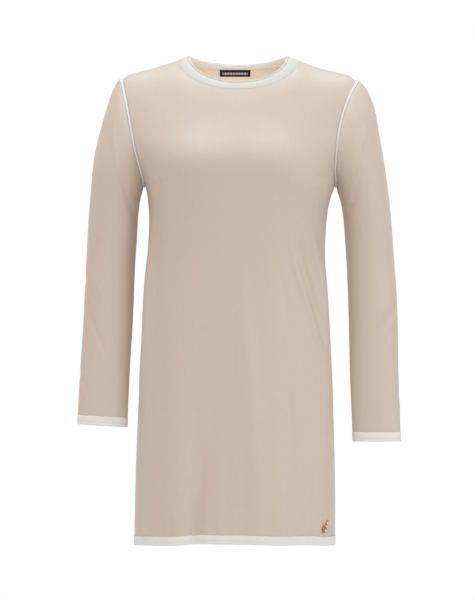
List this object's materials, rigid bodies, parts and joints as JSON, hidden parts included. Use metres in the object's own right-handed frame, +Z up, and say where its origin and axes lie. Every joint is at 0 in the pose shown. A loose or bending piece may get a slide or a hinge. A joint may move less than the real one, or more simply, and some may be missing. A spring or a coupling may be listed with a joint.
{
  "type": "tunic top",
  "caption": "Long-sleeved A-line tunic in beige jersey with ivory bands at neck, armholes, cuffs and hem, in its worn, hollow form.",
  "frame": {"origin": "middle of the neck opening, level with the shoulder seams at the neck, where a wearer's shoulders hold it up", "axes": "+Z up towards the wearer's head, -Y towards the front of the garment, +X towards the wearer's left arm"},
  "size_m": [0.5751, 0.25, 0.8705],
  "materials": {
    "jersey": "fine smooth knit, matt",
    "ivory_trim": "fine dense knit, matt",
    "woven_label": "woven satin ribbon",
    "gold_tone": "polished gold tone",
    "clear_stone": "cut and polished"
  },
  "bodies": {
    "root": {"front": "jersey", "back": "jersey", "sleeve_right": "jersey", "sleeve_left": "jersey", "neck_band": "ivory_trim", "armhole_piping_right": "ivory_trim", "armhole_piping_left": "ivory_trim", "cuff_band_right": "ivory_trim", "cuff_band_left": "ivory_trim", "hem_band_front": "ivory_trim", "hem_band_back": "ivory_trim", "neck_label": "woven_label", "hem_charm": "gold_tone", "charm_stone_1": "clear_stone", "charm_stone_2": "clear_stone", "charm_stone_3": "clear_stone"}
  },
  "joints": []
}
